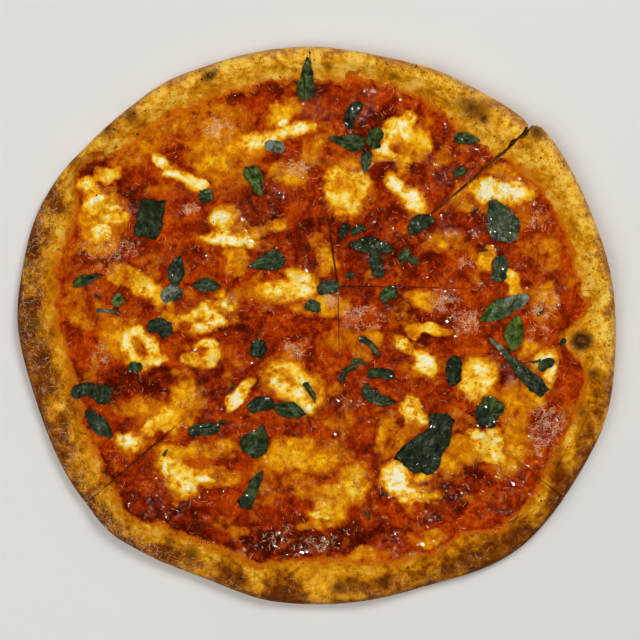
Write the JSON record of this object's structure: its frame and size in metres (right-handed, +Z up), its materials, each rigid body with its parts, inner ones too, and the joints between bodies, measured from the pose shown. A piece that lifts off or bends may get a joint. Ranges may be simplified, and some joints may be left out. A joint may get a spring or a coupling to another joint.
{
  "type": "margherita pizza",
  "caption": "Round thin-crust margherita pizza with a raised browned rim, tomato sauce, melted mozzarella and torn basil, cut into slices that still lie together; food to serve and share.",
  "frame": {"origin": "under the middle of the pizza, on the surface that it lies on", "axes": "+Z up out of the toppings, +X along the pizza's longest width"},
  "size_m": [0.3303, 0.3079, 0.0168],
  "materials": {
    "crust": "baked bread, golden with brown freckles, charred blisters and a floury outer edge",
    "sauce": "cooked tomato, mottled deep red to orange, wet and oily",
    "mozzarella": "melted cheese, cream white with yellow edges and browned spots, softly glossy",
    "basil": "wilted leaf, very dark green with a greyish sheen and paler veins"
  },
  "bodies": {
    "root": {"crust_1": "crust", "crust_2": "crust", "crust_3": "crust", "crust_4": "crust", "crust_5": "crust", "crust_6": "crust", "crust_7": "crust", "crust_8": "crust", "sauce_1": "sauce", "sauce_2": "sauce", "sauce_3": "sauce", "sauce_4": "sauce", "sauce_5": "sauce", "sauce_6": "sauce", "sauce_7": "sauce", "sauce_8": "sauce", "mozzarella_01": "mozzarella", "mozzarella_02": "mozzarella", "mozzarella_03": "mozzarella", "mozzarella_04": "mozzarella", "mozzarella_05": "mozzarella", "mozzarella_06": "mozzarella", "mozzarella_07": "mozzarella", "mozzarella_08": "mozzarella", "mozzarella_09": "mozzarella", "mozzarella_10": "mozzarella", "mozzarella_11": "mozzarella", "mozzarella_12": "mozzarella", "mozzarella_13": "mozzarella", "mozzarella_14": "mozzarella", "mozzarella_15": "mozzarella", "mozzarella_16": "mozzarella", "mozzarella_17": "mozzarella", "mozzarella_18": "mozzarella", "mozzarella_19_a": "mozzarella", "mozzarella_19_b": "mozzarella", "mozzarella_20": "mozzarella", "mozzarella_21": "mozzarella", "mozzarella_22": "mozzarella", "basil_01": "basil", "basil_02": "basil", "basil_03": "basil", "basil_04": "basil", "basil_05": "basil", "basil_06": "basil", "basil_07": "basil", "basil_08": "basil", "basil_09": "basil", "basil_10": "basil", "basil_11": "basil", "basil_12": "basil", "basil_13": "basil", "basil_14": "basil", "basil_15": "basil", "basil_16": "basil", "basil_17": "basil", "basil_18": "basil", "basil_19": "basil", "basil_20": "basil", "basil_21": "basil"}
  },
  "joints": []
}
